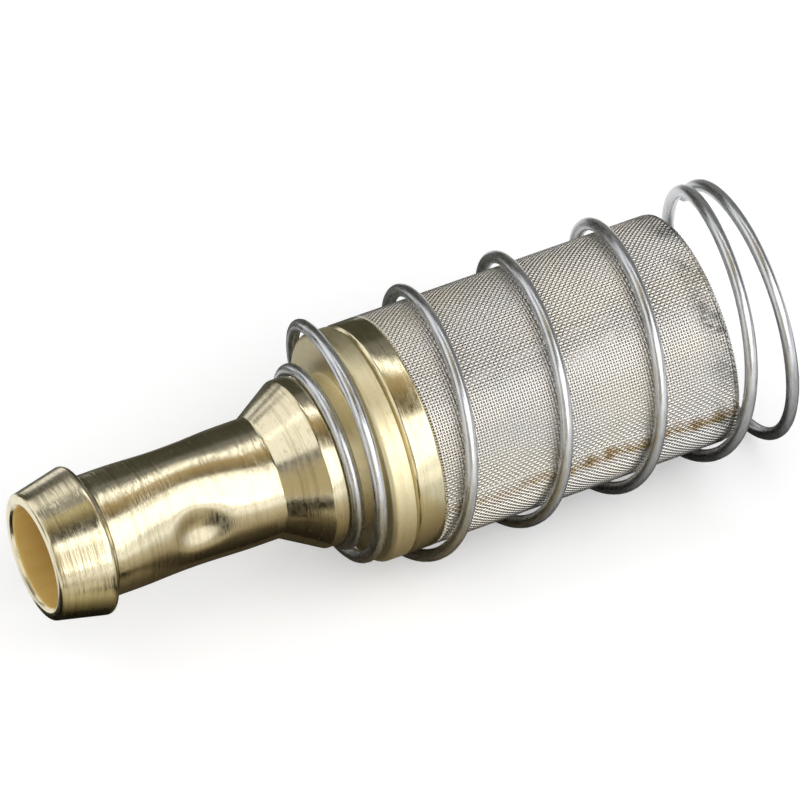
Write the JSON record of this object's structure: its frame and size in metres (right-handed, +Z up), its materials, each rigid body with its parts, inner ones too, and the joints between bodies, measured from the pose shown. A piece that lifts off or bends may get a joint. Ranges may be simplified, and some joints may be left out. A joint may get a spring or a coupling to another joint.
{
  "type": "suction strainer with foot valve",
  "caption": "Turned brass hose tail with a ball foot valve, closed by a woven steel basket inside a coiled guard spring, for the end of an oil suction hose.",
  "frame": {"origin": "centre of the hose mouth, on the hose tail's end face", "axes": "+X along the axis from the hose mouth to the basket's closed end, +Z up"},
  "size_m": [0.0627, 0.0218, 0.0218],
  "materials": {
    "turned_brass": "turned, bright",
    "ball_steel": "ground and polished",
    "seat_brass": "turned",
    "ring_brass": "turned, bright",
    "woven_steel": "fine plain weave",
    "woven_end_steel": "fine plain weave",
    "spring_steel": "drawn wire"
  },
  "bodies": {
    "strainer": {"hose_tail_body": "turned_brass", "valve_seat": "seat_brass", "strainer_ring": "ring_brass", "strainer_mesh_tube": "woven_steel", "strainer_mesh_end": "woven_end_steel"},
    "ball": {"valve_ball": "ball_steel"},
    "spring": {"guard_spring": "spring_steel"}
  },
  "joints": [
    {"name": "ball_lift", "type": "slide", "parent": "strainer", "child": "ball", "axis": [-1, 0, 0], "range_m": [0, 0.0025]},
    {"name": "spring_press", "type": "slide", "parent": "strainer", "child": "spring", "axis": [-1, 0, 0], "range_m": [0, 0.0042], "stiffness_N_per_m": 300, "deforming": ["guard_spring"]}
  ]
}
